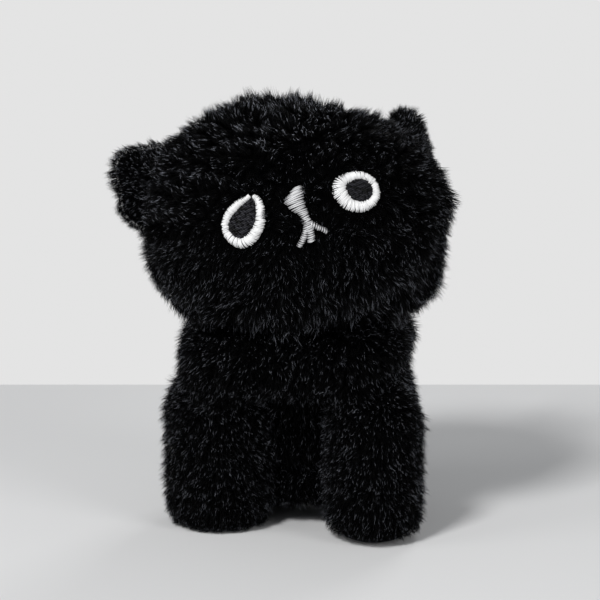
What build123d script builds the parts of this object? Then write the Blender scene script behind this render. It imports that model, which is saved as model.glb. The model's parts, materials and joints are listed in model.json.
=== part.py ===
from build123d import *

import os
from math import asin, atan2, cos, degrees, radians, sin, tan

# A palm-sized plush cat, standing on four short legs. Millimetres, +Z up. The cat faces -Y, and
# left and right are the viewer's, so left is -X. Every piece is drawn about the body's own middle
# line and moved at the end, so that the origin is under the middle of the whole cat's box.

# ---- Driving dimensions -------------------------------------------------------------------------
FABRIC = 3.0  # backing cloth, with its pile pressed half down
FILL_GAP = 0.15  # between the stuffing and the cloth round it
LINING_ROUND = 1.5  # at the foot of a leg's stuffing

HEAD_CENTRE = Vector(0.9, -0.8, 72.0)
HEAD_HALF_SIZE = (33.0, 27.0, 25.5)  # across, front to back, and up
HEAD_TURN = 12.0  # degrees, the face towards +X
HEAD_ROLL = 14.5  # degrees, the face and the ears, the right side up
FORM_ROLL = 5.0  # degrees, the stuffed head behind them, which has sagged level again
HEAD_LIFT = 5.0  # degrees, the face up
FACE_SEAM = -5.0  # where the face panel meets the back, behind the head's centre where positive
CROWN_SEAM = 15.0  # the crown panel's lower edge, above the head's centre
STABILISER_RADIUS = 20.0
STABILISER_THICKNESS = 0.4

STITCH_GAP = 0.05  # under a stitched patch
STITCH_HEIGHT = 0.8  # how far the satin stitches stand off the pile
EYE_SPREAD = 12.3  # from the middle of the face to the middle of each eye
EYE_HEIGHT = 3.5  # above the head's centre
RING_HALF_WIDTH = 4.8
RING_HALF_HEIGHT = 4.6
RING_SLANT = 12.0
PUPIL_RADIUS = 2.4
PUPIL_TIP = 4.2  # from the middle of the pupil's round end to its point
PUPIL_OUT = 0.6  # further from the nose than its ring
PUPIL_SLANT = 40.0  # degrees from upright
PUPIL_GAP = 0.12  # between the black stitches and the white ring
NOSE = (-0.6, 2.0)  # from the middle of the line between the eyes
NOSE_HALF_WIDTH = 2.5
NOSE_HALF_HEIGHT = 1.9
NOSE_SLANT = 35.0
STEM_WIDTH = 1.8
FORK = (0.8, -4.8)
PRONG_ENDS = [(-2.2, -8.1), (1.2, -7.8), (4.4, -6.4)]
PRONG_WIDTH = 1.25

EAR_WIDTH = 17.0
EAR_HEIGHT = 19.5
EAR_CORNER = 6.5
EAR_THICKNESS = 6.0
EAR_SPAN = 28.0  # across the dome of each of its two faces
EAR_INSIDE = {"left": 8.5, "right": 5.0}  # the hinge line's middle, from the head's side inwards
EAR_UP = {"left": 13.0, "right": 6.5}
EAR_BACK = {"left": 6.0, "right": 12.0}
EAR_SWEEP = {"left": 0.0, "right": 62.0}  # degrees, laid back at rest
EAR_REACH = 9.0  # from the hinge line to the flap's middle
EAR_RISE = 1.8
EAR_LEAN = 0.7  # how far the hinge line leans inwards for each millimetre up
EAR_FOLD = 20.0  # degrees that a flap folds each way
EAR_CLEARANCE = 0.6

NECK_CENTRE = Vector(0, 2, 44)
NECK_RADIUS = 13.2
NECK_CLEARANCE = 0.4
NECK_PLAY = 1.3  # degrees, past the nod's limits
NOD = 12.0  # degrees each way that the seam rocks on the neck's stuffing
SEAM_WIDTH = 1.8  # the turned-in edges of cloth at the neck

TORSO_HALF_WIDTH = 24.5
TORSO_HALF_DEPTH = 20.0
TORSO_MIDDLE = 6.0
TORSO_BOTTOM = 13.5
TORSO_TOP = 42.5
TORSO_ROUND = 7.5
BELLY_SEAM = 22.0  # the belly panel's upper edge
BELLY_BACK = 13.0  # its rear edge
BELLY_HALF_WIDTH = 14.0
CLOSING_STITCHES = 7
CLOSING_PITCH = 2.4
CLOSING_LENGTH = 2.6
CLOSING_FORWARD = 6.0
THREAD = 0.5

HIP_HEIGHT = 26.0
LEG_RADIUS = {"front": 9.7, "hind": 9.5}
LEG_APART = {"front": 18.2, "hind": 13.0}  # from the middle line
LEG_MIDDLE = {"front": -4.4, "hind": 18.5}
STRIDE = {"front": 2.0, "hind": 0.0}  # the right one stands this much further forward
FOOT_ROUND = 4.0
SOLE_THICKNESS = 1.6
HIP_CLEARANCE = 0.4
HIP_FLARE = 16.0  # degrees that the torso stands back round a leg, for its swing

TAIL_RADIUS = 4.6
TAIL_CLOTH = 2.0
TAIL_LENGTH = 13.0
TAIL_ROOT = Vector(0, 26.5, 29.0)
TAIL_RISE = 35.0  # degrees above level
TAIL_CLEARANCE = 0.4
TAIL_FLARE = 26.0  # degrees that the torso stands back round the tail, for its wag

SIDES = {"left": -1, "right": 1}
os.makedirs("parts", exist_ok=True)

# ---- Frames -------------------------------------------------------------------------------------
head_level = (
    Location(HEAD_CENTRE)
    * Location((0, 0, 0), (0, 0, HEAD_TURN))
    * Location((0, 0, 0), (-HEAD_LIFT, 0, 0))
)
head_pose = head_level * Location((0, 0, 0), (0, -HEAD_ROLL, 0))
form_pose = head_level * Location((0, 0, 0), (0, -FORM_ROLL, 0))
pieces = {}


def posed(pose, plane):
    """A plane carried along by a pose."""
    return Plane(pose * plane.location)


face_plane = posed(head_pose, Plane.XZ)  # its normal points out of the face
seam_plane = face_plane.offset(-FACE_SEAM)
crown_plane = posed(head_pose, Plane.XY.offset(CROWN_SEAM))
middle_plane = posed(head_pose, Plane.YZ)


def keep(piece, name):
    """Labels a finished part and stores it for the export."""
    piece.part.label = name
    pieces[name] = piece.part


def on_face(x, z):
    """The face's plane, moved to a point of the face."""
    return posed(face_plane.location, Plane((x, z, 0)))


# ---- The head -----------------------------------------------------------------------------------
def egg(inset):
    """The head's round form, drawn inside its surface by inset, or outside it where negative."""
    with BuildPart() as form:
        Sphere(1)
        scale(by=tuple(half - inset for half in HEAD_HALF_SIZE))
    return form.part.moved(form_pose)


with BuildPart() as neck_hollow:
    with Locations(NECK_CENTRE):
        Sphere(NECK_RADIUS + NECK_CLEARANCE)

with BuildPart() as head_cloth:
    add(egg(0))
    add(egg(FABRIC), mode=Mode.SUBTRACT)
    add(neck_hollow.part, mode=Mode.SUBTRACT)

with BuildPart() as face_panel:
    add(head_cloth.part)
    split(bisect_by=seam_plane, keep=Keep.TOP)
keep(face_panel, "face_panel")

with BuildPart() as head_rear:
    add(head_cloth.part)
    split(bisect_by=seam_plane, keep=Keep.BOTTOM)

with BuildPart() as crown_panel:
    add(head_rear.part)
    split(bisect_by=crown_plane, keep=Keep.TOP)
keep(crown_panel, "crown_panel")

for side, half in (("left", Keep.BOTTOM), ("right", Keep.TOP)):
    with BuildPart() as back_panel:
        add(head_rear.part)
        split(bisect_by=crown_plane, keep=Keep.BOTTOM)
        split(bisect_by=middle_plane, keep=half)
    keep(back_panel, f"head_back_panel_{side}")

with BuildPart() as face_stabiliser:
    add(egg(FABRIC + FILL_GAP))
    add(egg(FABRIC + FILL_GAP + STABILISER_THICKNESS), mode=Mode.SUBTRACT)
    with BuildSketch(face_plane):
        Circle(STABILISER_RADIUS)
    extrude(amount=HEAD_HALF_SIZE[1], mode=Mode.INTERSECT)
    add(neck_hollow.part, mode=Mode.SUBTRACT)
keep(face_stabiliser, "face_stabiliser")

with BuildPart() as head_fill:
    add(egg(FABRIC + STABILISER_THICKNESS + 2 * FILL_GAP))
    add(neck_hollow.part, mode=Mode.SUBTRACT)
keep(head_fill, "head_fill")

# ---- The stitched face --------------------------------------------------------------------------
stitch_top = egg(-STITCH_GAP - STITCH_HEIGHT)
stitch_bed = egg(-STITCH_GAP)


def stitched(outline):
    """A patch of satin stitches of the given outline, lying on the face."""
    with BuildPart() as patch:
        add(extrude(outline, amount=HEAD_HALF_SIZE[1] + FABRIC, mode=Mode.PRIVATE))
        add(stitch_top, mode=Mode.INTERSECT)
        add(stitch_bed, mode=Mode.SUBTRACT)
    return patch


def teardrop(spare):
    """An eye's black middle, spare larger all round: a round end with a point above it."""
    radius = PUPIL_RADIUS + spare
    tip = PUPIL_TIP + 2 * spare
    touch = radius**2 / tip
    half = (radius**2 - touch**2) ** 0.5
    with BuildSketch() as drop:
        Circle(radius)
        with BuildLine():
            Polyline((-half, touch), (0, tip), (half, touch), close=True)
        make_face()
    return drop.sketch


def bar(start, end, width):
    """Draws a round-ended bar of stitches between two points of the open sketch."""
    run = Vector(*end) - Vector(*start)
    middle = (Vector(*start) + Vector(*end)) / 2
    with Locations(Location(middle, (0, 0, degrees(atan2(run.Y, run.X))))):
        SlotCenterToCenter(run.length, width)


for side, sign in SIDES.items():
    pupil_place = Location((sign * PUPIL_OUT, 0, 0), (0, 0, sign * PUPIL_SLANT))
    with BuildSketch(on_face(sign * EYE_SPREAD, EYE_HEIGHT)) as ring:
        Ellipse(RING_HALF_WIDTH, RING_HALF_HEIGHT, rotation=sign * RING_SLANT)
        with Locations(pupil_place):
            add(teardrop(PUPIL_GAP), mode=Mode.SUBTRACT)
    keep(stitched(ring.sketch), f"eye_ring_{side}")

    with BuildSketch(on_face(sign * EYE_SPREAD, EYE_HEIGHT)) as pupil:
        with Locations(pupil_place):
            add(teardrop(0))
    keep(stitched(pupil.sketch), f"eye_pupil_{side}")

with BuildSketch(on_face(0, EYE_HEIGHT)) as muzzle:
    with Locations(NOSE):
        Ellipse(NOSE_HALF_WIDTH, NOSE_HALF_HEIGHT, rotation=NOSE_SLANT)
    bar(NOSE, FORK, STEM_WIDTH)
    for end in PRONG_ENDS:
        bar(FORK, end, PRONG_WIDTH)
keep(stitched(muzzle.sketch), "nose_and_mouth")


# ---- The ears -----------------------------------------------------------------------------------
def ear_root(side):
    """The frame of an ear's hinge line: its flap lies in X and Z, and X runs outwards or inwards."""
    sign = SIDES[side]
    ear_out = HEAD_HALF_SIZE[0] - EAR_INSIDE[side]
    root = head_pose * Location((sign * ear_out, EAR_BACK[side], EAR_UP[side]))
    return root * Location((0, 0, 0), (0, 0, sign * EAR_SWEEP[side]))


def ear_hinge(side):
    """The line that an ear folds about."""
    root = ear_root(side)
    above = root * Location((-SIDES[side] * EAR_LEAN, 0, 1))
    return Axis(root.position, above.position - root.position)


head_clear = egg(-EAR_CLEARANCE)
bulge = EAR_THICKNESS / 2
dome_radius = ((EAR_SPAN / 2) ** 2 + bulge**2) / (2 * bulge)
for side, sign in SIDES.items():
    flap_plane = posed(ear_root(side) * Location((sign * EAR_REACH, 0, EAR_RISE)), Plane.XZ)
    for face, out in (("front", 1), ("back", -1)):
        with BuildPart() as ear_panel:
            with BuildSketch(flap_plane):
                RectangleRounded(EAR_WIDTH, EAR_HEIGHT, EAR_CORNER)
            extrude(amount=out * bulge)
            with Locations(flap_plane.offset(out * (bulge - dome_radius))):
                Sphere(dome_radius, mode=Mode.INTERSECT)
            for fold in (-EAR_FOLD, 0, EAR_FOLD):
                add(head_clear.rotate(ear_hinge(side), fold), mode=Mode.SUBTRACT)
        keep(ear_panel, f"ear_{side}_{face}")

# ---- The neck -----------------------------------------------------------------------------------
seam_radius = NECK_RADIUS - SEAM_WIDTH / 2
groove_floor = NECK_RADIUS - SEAM_WIDTH - NECK_CLEARANCE
groove_half = NOD + degrees(asin(SEAM_WIDTH / 2 / seam_radius)) + NECK_PLAY
neck_plane = Plane(NECK_CENTRE, x_dir=(1, 0, 0), z_dir=(0, -1, 0))
neck_axis = Axis(NECK_CENTRE, (0, 0, 1))

with BuildPart() as neck_groove:
    with BuildSketch(neck_plane):
        with BuildLine():
            wall = PolarLine((0, 0), 2 * NECK_RADIUS, groove_half)
            Polyline(wall @ 1, ((wall @ 1).X, -(wall @ 1).Y), (0, 0))
        make_face()
    revolve(axis=neck_axis)
    with Locations(NECK_CENTRE):
        Sphere(groove_floor, mode=Mode.SUBTRACT)

with BuildPart() as neck_fill:
    with Locations(NECK_CENTRE):
        Sphere(NECK_RADIUS)
    add(neck_groove.part, mode=Mode.SUBTRACT)
keep(neck_fill, "neck_fill")

with BuildPart() as neck_seam:
    with Locations(NECK_CENTRE):
        Torus(seam_radius, SEAM_WIDTH / 2)
keep(neck_seam, "neck_seam")


# ---- The legs -----------------------------------------------------------------------------------
def leg_place(end, side):
    """Where a leg's middle line meets the floor."""
    forward = STRIDE[end] * SIDES[side]
    return Vector(SIDES[side] * LEG_APART[end], LEG_MIDDLE[end] - forward, 0)


def hip(end, side):
    """The middle of a hip, which its leg swings about."""
    return leg_place(end, side) + Vector(0, 0, HIP_HEIGHT)


def leg_form(radius, end, side, foot=FOOT_ROUND, floor=0.0):
    """A leg of the given radius, from its floor to the dome that turns in the hip."""
    at = leg_place(end, side)
    with BuildPart() as leg:
        with BuildSketch(Plane(at, x_dir=(1, 0, 0), z_dir=(0, -1, 0))):
            with BuildLine():
                Line((0, floor), (radius - foot, floor))
                RadiusArc((radius - foot, floor), (radius, floor + foot), -foot)
                Line((radius, floor + foot), (radius, HIP_HEIGHT))
                RadiusArc((radius, HIP_HEIGHT), (0, HIP_HEIGHT + radius), -radius)
                Line((0, HIP_HEIGHT + radius), (0, floor))
            make_face()
        revolve(axis=Axis(at, (0, 0, 1)))
    return leg.part


def swing_room(root, along, radius, flare, reach):
    """The room that the torso leaves round a limb: a dome at its root, and a skirt that flares."""
    limb = Plane(root, x_dir=along, z_dir=Vector(1, 0, 0))
    mouth = radius + reach * tan(radians(flare))
    with BuildPart() as room:
        with BuildSketch(limb):
            with BuildLine():
                Polyline((-radius, 0), (reach, 0), (reach, mouth), (0, radius))
                RadiusArc((0, radius), (-radius, 0), -radius)
            make_face()
        revolve(axis=Axis(root, along))
    return room.part


legs = [(end, side) for end in ("front", "hind") for side in SIDES]
for end, side in legs:
    radius = LEG_RADIUS[end]
    above_sole = Plane.XY.offset(SOLE_THICKNESS)
    with BuildPart() as sole:
        add(leg_form(radius, end, side))
        split(bisect_by=above_sole, keep=Keep.BOTTOM)
    keep(sole, f"sole_{end}_{side}")

    with BuildPart() as leg_cover:
        add(leg_form(radius, end, side))
        split(bisect_by=above_sole, keep=Keep.TOP)
        add(leg_form(radius - FABRIC, end, side, LINING_ROUND), mode=Mode.SUBTRACT)
    keep(leg_cover, f"leg_cover_{end}_{side}")

    with BuildPart() as leg_fill:
        stuffing = radius - FABRIC - FILL_GAP
        add(leg_form(stuffing, end, side, LINING_ROUND, SOLE_THICKNESS + FILL_GAP))
    keep(leg_fill, f"leg_fill_{end}_{side}")


# ---- The tail -----------------------------------------------------------------------------------
tail_along = Vector(0, cos(radians(TAIL_RISE)), sin(radians(TAIL_RISE)))


def tail_form(radius):
    """The tail's round-ended form, from its root to its tip."""
    tail_plane = Plane(TAIL_ROOT, x_dir=tail_along, z_dir=Vector(-1, 0, 0))
    with BuildPart() as tail:
        with BuildSketch(tail_plane):
            with BuildLine():
                Line((0, radius), (TAIL_LENGTH, radius))
                RadiusArc((TAIL_LENGTH, radius), (TAIL_LENGTH + radius, 0), radius)
                Line((TAIL_LENGTH + radius, 0), (-radius, 0))
                RadiusArc((-radius, 0), (0, radius), radius)
            make_face()
        revolve(axis=Axis(TAIL_ROOT, tail_along))
    return tail.part


with BuildPart() as tail_cover:
    add(tail_form(TAIL_RADIUS))
    add(tail_form(TAIL_RADIUS - TAIL_CLOTH), mode=Mode.SUBTRACT)
keep(tail_cover, "tail_cover")

with BuildPart() as tail_fill:
    add(tail_form(TAIL_RADIUS - TAIL_CLOTH - FILL_GAP))
keep(tail_fill, "tail_fill")


# ---- The torso ----------------------------------------------------------------------------------
def drum(inset):
    """The torso's round-edged form, drawn inside its surface by inset."""
    with BuildPart() as form:
        with BuildSketch(Plane.XY.offset(TORSO_BOTTOM + inset)):
            with Locations((0, TORSO_MIDDLE)):
                Ellipse(TORSO_HALF_WIDTH - inset, TORSO_HALF_DEPTH - inset)
        extrude(amount=TORSO_TOP - TORSO_BOTTOM - 2 * inset)
        edges = form.edges().group_by(Axis.Z)
        fillet(edges[-1] + edges[0], TORSO_ROUND - inset)
    return form.part


with BuildPart() as torso_room:
    add(neck_hollow.part)
    for end, side in legs:
        radius = LEG_RADIUS[end] + HIP_CLEARANCE
        add(swing_room(hip(end, side), Vector(0, 0, -1), radius, HIP_FLARE, HIP_HEIGHT))
    radius = TAIL_RADIUS + TAIL_CLEARANCE
    add(swing_room(TAIL_ROOT, tail_along, radius, TAIL_FLARE, TAIL_LENGTH))

with BuildPart() as torso_cloth:
    add(drum(0))
    add(drum(FABRIC), mode=Mode.SUBTRACT)
    add(torso_room.part, mode=Mode.SUBTRACT)

with BuildPart() as torso_fill:
    add(drum(FABRIC + FILL_GAP))
    add(torso_room.part, mode=Mode.SUBTRACT)
keep(torso_fill, "torso_fill")

with BuildPart() as belly_region:
    with BuildSketch():
        with Locations((0, BELLY_BACK)):
            Rectangle(2 * BELLY_HALF_WIDTH, 2 * TORSO_HALF_DEPTH, align=(Align.CENTER, Align.MAX))
    extrude(amount=BELLY_SEAM)

with BuildPart() as belly_panel:
    add(torso_cloth.part)
    add(belly_region.part, mode=Mode.INTERSECT)
keep(belly_panel, "belly_panel")

for side, half in (("left", Keep.BOTTOM), ("right", Keep.TOP)):
    with BuildPart() as side_panel:
        add(torso_cloth.part)
        add(belly_region.part, mode=Mode.SUBTRACT)
        split(bisect_by=Plane.YZ, keep=half)
    keep(side_panel, f"torso_panel_{side}")

with BuildPart() as closing_stitches:
    closing_place = Plane((0, TORSO_MIDDLE - CLOSING_FORWARD, TORSO_BOTTOM - THREAD / 2))
    with Locations(closing_place):
        with GridLocations(0, CLOSING_PITCH, 1, CLOSING_STITCHES):
            Box(CLOSING_LENGTH, THREAD, THREAD)
keep(closing_stitches, "closing_stitches")

# ---- Joints, and the move to the origin ---------------------------------------------------------
joint_lines = {
    "head_turn": Axis(NECK_CENTRE, Vector(0, 0, 1)),
    "head_nod": Axis(NECK_CENTRE, Vector(1, 0, 0)),
    "head_tilt": Axis(NECK_CENTRE, Vector(0, 1, 0)),
    "tail_wag": Axis(TAIL_ROOT, Vector(0, 0, 1)),
}
for end, side in legs:
    joint_lines[f"leg_{end}_{side}_swing"] = Axis(hip(end, side), Vector(1, 0, 0))
for side in SIDES:
    joint_lines[f"ear_{side}_fold"] = ear_hinge(side)

whole = Compound(list(pieces.values())).bounding_box()
to_origin = Vector(-whole.center().X, -whole.center().Y, -whole.min.Z)
for name, piece in pieces.items():
    placed = piece.moved(Location(to_origin))
    placed.label = name
    export_step(placed, f"parts/{name}.step")
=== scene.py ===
"""A palm-sized black plush cat: stuffed cloth bodies, a clumped pile and an embroidered face.

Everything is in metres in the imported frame: the face looks towards -Y and the feet stand on z = 0.
"""

import json
import logging
import math
from collections.abc import Sequence
from dataclasses import dataclass, field
from enum import Enum, IntEnum

import bmesh
import bpy
import numpy as np
from mathutils import Matrix, Vector
from mathutils.bvhtree import BVHTree


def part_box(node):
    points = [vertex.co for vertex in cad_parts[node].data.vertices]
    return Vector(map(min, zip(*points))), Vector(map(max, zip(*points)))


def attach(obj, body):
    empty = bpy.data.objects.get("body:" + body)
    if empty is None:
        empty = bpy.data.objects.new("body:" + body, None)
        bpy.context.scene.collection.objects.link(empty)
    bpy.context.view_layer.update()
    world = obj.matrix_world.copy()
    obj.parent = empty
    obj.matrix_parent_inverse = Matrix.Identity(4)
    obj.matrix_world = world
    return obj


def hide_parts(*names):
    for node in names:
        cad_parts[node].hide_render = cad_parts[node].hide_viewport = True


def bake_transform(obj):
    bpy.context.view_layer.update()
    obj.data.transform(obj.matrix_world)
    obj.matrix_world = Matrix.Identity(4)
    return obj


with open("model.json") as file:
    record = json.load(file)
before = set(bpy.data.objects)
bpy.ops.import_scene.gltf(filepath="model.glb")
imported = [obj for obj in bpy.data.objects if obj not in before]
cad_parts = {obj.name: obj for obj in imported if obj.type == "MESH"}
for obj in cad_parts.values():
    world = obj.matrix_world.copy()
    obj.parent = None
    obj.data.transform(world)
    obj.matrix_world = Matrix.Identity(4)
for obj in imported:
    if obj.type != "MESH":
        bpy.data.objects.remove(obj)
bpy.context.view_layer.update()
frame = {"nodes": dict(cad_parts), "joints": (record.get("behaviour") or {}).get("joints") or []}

LOG = logging.getLogger("plush_cat")
MM = 0.001
BAKE_MAP = "OFBake"
LEG_PLACES = ("front_left", "front_right", "hind_left", "hind_right")
HEAD_SEED, TORSO_SEED, LEG_SEED, FACE_SEED = 40, 50, 60, 70
DOWN = np.array([0.0, 0.0, -1.0])
Array = np.ndarray
Triple = tuple[float, float, float]
Zone = tuple[float, float]  # where a ramp starts and where it is full
Socket = bpy.types.NodeSocket
SocketRows = Sequence[tuple[str, str, object]]  # name, kind, default


# ------------------------------------------------------------------ small helpers


def unit(vectors: Array) -> Array:
    """Rows of vectors at length one."""
    return vectors / np.maximum(np.linalg.norm(vectors, axis=-1, keepdims=True), 1e-12)


def ramp(values: Array, low: float, high: float) -> Array:
    """Smooth step from 0 at low to 1 at high."""
    t = np.clip((values - low) / (high - low), 0.0, 1.0)
    return t * t * (3.0 - 2.0 * t)


def wander(points: Array, size: float, seed: int, waves: int = 7) -> Array:
    """A slow random drift over space, about -1 to 1 along each axis.

    Args:
        points: Rows of positions.
        size: Length of its longest waves.
        seed: Where the waves' directions come from.
        waves: How many waves are added up.

    Returns:
        A row of three for each position.
    """
    rng = np.random.default_rng(seed)
    found = np.zeros_like(points)
    for _ in range(waves):
        way = unit(rng.normal(size=3))
        push = rng.normal(size=3)
        pace = math.tau / (size * rng.uniform(0.45, 1.0))
        found += np.sin(points @ way * pace + rng.uniform(0, math.tau))[:, None] * push
    return found / math.sqrt(waves)


def rows_of(held: bpy.types.bpy_prop_collection, key: str = "co") -> Array:
    """One vector of each vertex, face or normal of a mesh, as rows."""
    found = np.empty(len(held) * 3)
    held.foreach_get(key, found)
    return found.reshape(-1, 3)


def place_vertices(mesh: bpy.types.Mesh, points: Array) -> None:
    """Writes rows of positions back to a mesh."""
    mesh.vertices.foreach_set("co", np.ascontiguousarray(points, dtype=np.float32).ravel())
    mesh.update()


def put_attribute(mesh: bpy.types.Mesh, name: str, values: Array) -> None:
    """Stores one number or one row of three for each vertex under a name."""
    kind, key = ("FLOAT", "value") if values.ndim == 1 else ("FLOAT_VECTOR", "vector")
    held = mesh.attributes.get(name) or mesh.attributes.new(name, kind, "POINT")
    held.data.foreach_set(key, np.ascontiguousarray(values, dtype=np.float32).ravel())


def round_off(mesh: bpy.types.Mesh) -> None:
    """Shades a mesh smooth."""
    mesh.polygons.foreach_set("use_smooth", [True] * len(mesh.polygons))


def new_object(name: str, data: bpy.types.ID) -> bpy.types.Object:
    """Links a mesh, a lamp or a camera into the scene as an object at the origin."""
    made = bpy.data.objects.new(name, data)
    bpy.context.scene.collection.objects.link(made)
    return made


def hidden_shape(name: str, points: list[Triple], faces: list, along: Array) -> bpy.types.Object:
    """A shape that doesn't show by itself, for a tree to copy.

    Args:
        name: Its name.
        points: Its vertices.
        faces: Its faces, as places in points.
        along: For each vertex, how far it is from the cloth, 0 to 1.

    Returns:
        The hidden object.
    """
    mesh = bpy.data.meshes.new(name)
    mesh.from_pydata(points, [], faces)
    round_off(mesh)
    put_attribute(mesh, "strand_along", along)
    made = new_object(name, mesh)
    made.hide_render = True
    return made


def evaluated_mesh(made: bpy.types.Object) -> bpy.types.Mesh:
    """Plain mesh of what an object's modifiers give."""
    graph = bpy.context.evaluated_depsgraph_get()
    return bpy.data.meshes.new_from_object(made.evaluated_get(graph), depsgraph=graph)


def joint_row(name: str) -> dict:
    """The frame's row for a joint."""
    return next(joint for joint in frame["joints"] if joint["name"] == name)


def joint_place(name: str) -> Vector:
    """A point on the named joint's line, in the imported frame."""
    return Vector(joint_row(name)["pos_m"])


def middle_of(node: str) -> Array:
    """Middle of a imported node's box."""
    low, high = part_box(node)
    return np.array((low + high) / 2)


def meet(surface: BVHTree, start: Vector, towards: Vector) -> tuple[Vector, Vector] | None:
    """Where a ray meets a surface, and the normal there that faces the ray, or None."""
    hit, normal, _, _ = surface.ray_cast(start, towards)
    if hit is None:
        return None
    return hit, -normal if normal.dot(towards) > 0 else normal


# ------------------------------------------------------------------ node trees


class Draw(IntEnum):
    """The random draws, each by how far it moves its tree's seed on."""

    ROOT_PLACE = 0
    THREAD_WIDTH = 1
    THREAD_ARCH = 2
    THREAD_SHADE = 3
    CLUMP_PLACE = 11
    CLUMP_LEAN = 21
    CLUMP_LENGTH = 22
    STRAND_LEAN = 31
    STRAND_PULL = 32
    STRAND_LENGTH = 33
    STRAND_SHAPE = 41
    STRAND_SHADE = 42


class Graph:
    """One node tree under construction, with nodes joined by socket name."""

    entry: bpy.types.bpy_prop_collection  # a group's inputs, as its nodes see them
    exit: bpy.types.bpy_prop_collection  # what a group gives out

    def __init__(self, tree: bpy.types.NodeTree) -> None:
        """Keeps the tree that the nodes are added to."""
        self.tree = tree

    @classmethod
    def group(cls, name: str, kind: str, inputs: SocketRows, output: str) -> "Graph":
        """A new node group.

        Args:
            name: Its name.
            kind: Geometry or Shader.
            inputs: Name, kind and default of each input.
            output: Kind of its one output, which gives the output its name as well.

        Returns:
            The group's graph.
        """
        graph = cls(bpy.data.node_groups.new(name, kind + "NodeTree"))
        for socket, socket_kind, default in inputs:
            made = graph.socket(socket, socket_kind, "INPUT")
            if default is not None:
                made.default_value = default
        graph.socket(output, output, "OUTPUT")
        graph.entry = graph.node("NodeGroupInput").outputs
        graph.exit = graph.node("NodeGroupOutput").inputs
        return graph

    def socket(self, name: str, kind: str, way: str) -> bpy.types.NodeTreeInterfaceSocket:
        """Adds a named socket to the tree's interface."""
        sockets = self.tree.interface
        return sockets.new_socket(name=name, in_out=way, socket_type="NodeSocket" + kind)

    def join(self, source: Socket, target: Socket) -> None:
        """Joins an output to an input."""
        self.tree.links.new(source, target)

    def node(self, kind: str, **given: object) -> bpy.types.Node:
        """Adds a node, sets it and fills its inputs.

        Args:
            kind: The node's type.
            **given: First the node's own properties, in small letters, then its inputs, by name
                with a capital or, as in_0, by place; each a socket or a plain value.

        Returns:
            The new node.
        """
        made = self.tree.nodes.new(kind)
        for key, value in given.items():
            if not (key.startswith("in_") or key[0].isupper()):
                setattr(made, key, value)
                continue
            place = int(key[3:]) if key.startswith("in_") else key.replace("_", " ")
            if isinstance(value, Socket):
                self.join(value, made.inputs[place])
            elif value is not None:
                made.inputs[place].default_value = value
        return made

    def out(self, kind: str, key: int | str = 0, **given: object) -> Socket:
        """One output of a new node, by place or by name."""
        return self.node(kind, **given).outputs[key]

    def math(self, operation: str, *values: object) -> Socket:
        """Result of a Math node."""
        joined = {f"in_{place}": value for place, value in enumerate(values)}
        return self.out("ShaderNodeMath", operation=operation, **joined)

    def times(self, first: object, second: object) -> Socket:
        """Product of two numbers."""
        return self.math("MULTIPLY", first, second)

    def vector(self, operation: str, first: object, second: object = None) -> Socket:
        """Result of a Vector Math node on one or two vectors."""
        key = "Value" if operation == "LENGTH" else "Vector"
        return self.out("ShaderNodeVectorMath", key, operation=operation, in_0=first, in_1=second)

    def scaled(self, first: object, factor: object) -> Socket:
        """A vector times a number."""
        return self.out("ShaderNodeVectorMath", operation="SCALE", in_0=first, Scale=factor)

    def mixed(self, share: object, first: object, second: object) -> Socket:
        """Two colours mixed."""
        joined = {"in_0": share, "in_6": first, "in_7": second}
        return self.out("ShaderNodeMix", 2, data_type="RGBA", **joined)

    def smooth_step(self, value: Socket, low: object, high: float) -> Socket:
        """Smooth step from 0 at low to 1 at high."""
        given = {"Value": value, "From_Min": low, "From_Max": high}
        return self.out("ShaderNodeMapRange", "Result", interpolation_type="SMOOTHSTEP", **given)

    def attribute(self, name: str, kind: str = "FLOAT") -> Socket:
        """A named attribute of the geometry."""
        return self.out("GeometryNodeInputNamedAttribute", "Attribute", data_type=kind, Name=name)

    def stored(
        self, ground: Socket, name: str, value: Socket, kind: str = "FLOAT", domain: str = "POINT"
    ) -> Socket:
        """Geometry with a value stored on it under a name."""
        given = {"data_type": kind, "domain": domain, "Name": name, "Value": value}
        return self.out("GeometryNodeStoreNamedAttribute", "Geometry", **given, Geometry=ground)

    def seed(self, draw: Draw) -> Socket:
        """The tree's seed moved on, so that each draw differs."""
        return self.math("ADD", self.entry["Seed"], float(draw))

    def random(self, draw: Draw, between: Sequence, kind: str = "FLOAT") -> Socket:
        """An even random value for each element.

        Args:
            draw: Which of the random draws this is.
            between: The least and the most that it can be.
            kind: FLOAT_VECTOR, FLOAT or INT.

        Returns:
            The value.
        """
        place = ("FLOAT_VECTOR", "FLOAT", "INT").index(kind)
        limits = {f"in_{2 * place + end}": value for end, value in enumerate(between)}
        given = {"data_type": kind, "Seed": self.seed(draw)}
        return self.out("FunctionNodeRandomValue", place, **given, **limits)

    def aligned(self, axis: str, pivot: str, towards: Socket, turn: Socket | None = None) -> Socket:
        """A rotation that points an axis at a vector.

        Args:
            axis: The axis that is pointed.
            pivot: The axis it may turn about, or AUTO.
            towards: Where it points.
            turn: The rotation that this one starts from.

        Returns:
            The rotation.
        """
        given = {"axis": axis, "pivot_axis": pivot, "Rotation": turn, "Vector": towards}
        return self.out("FunctionNodeAlignRotationToVector", **given)

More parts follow.
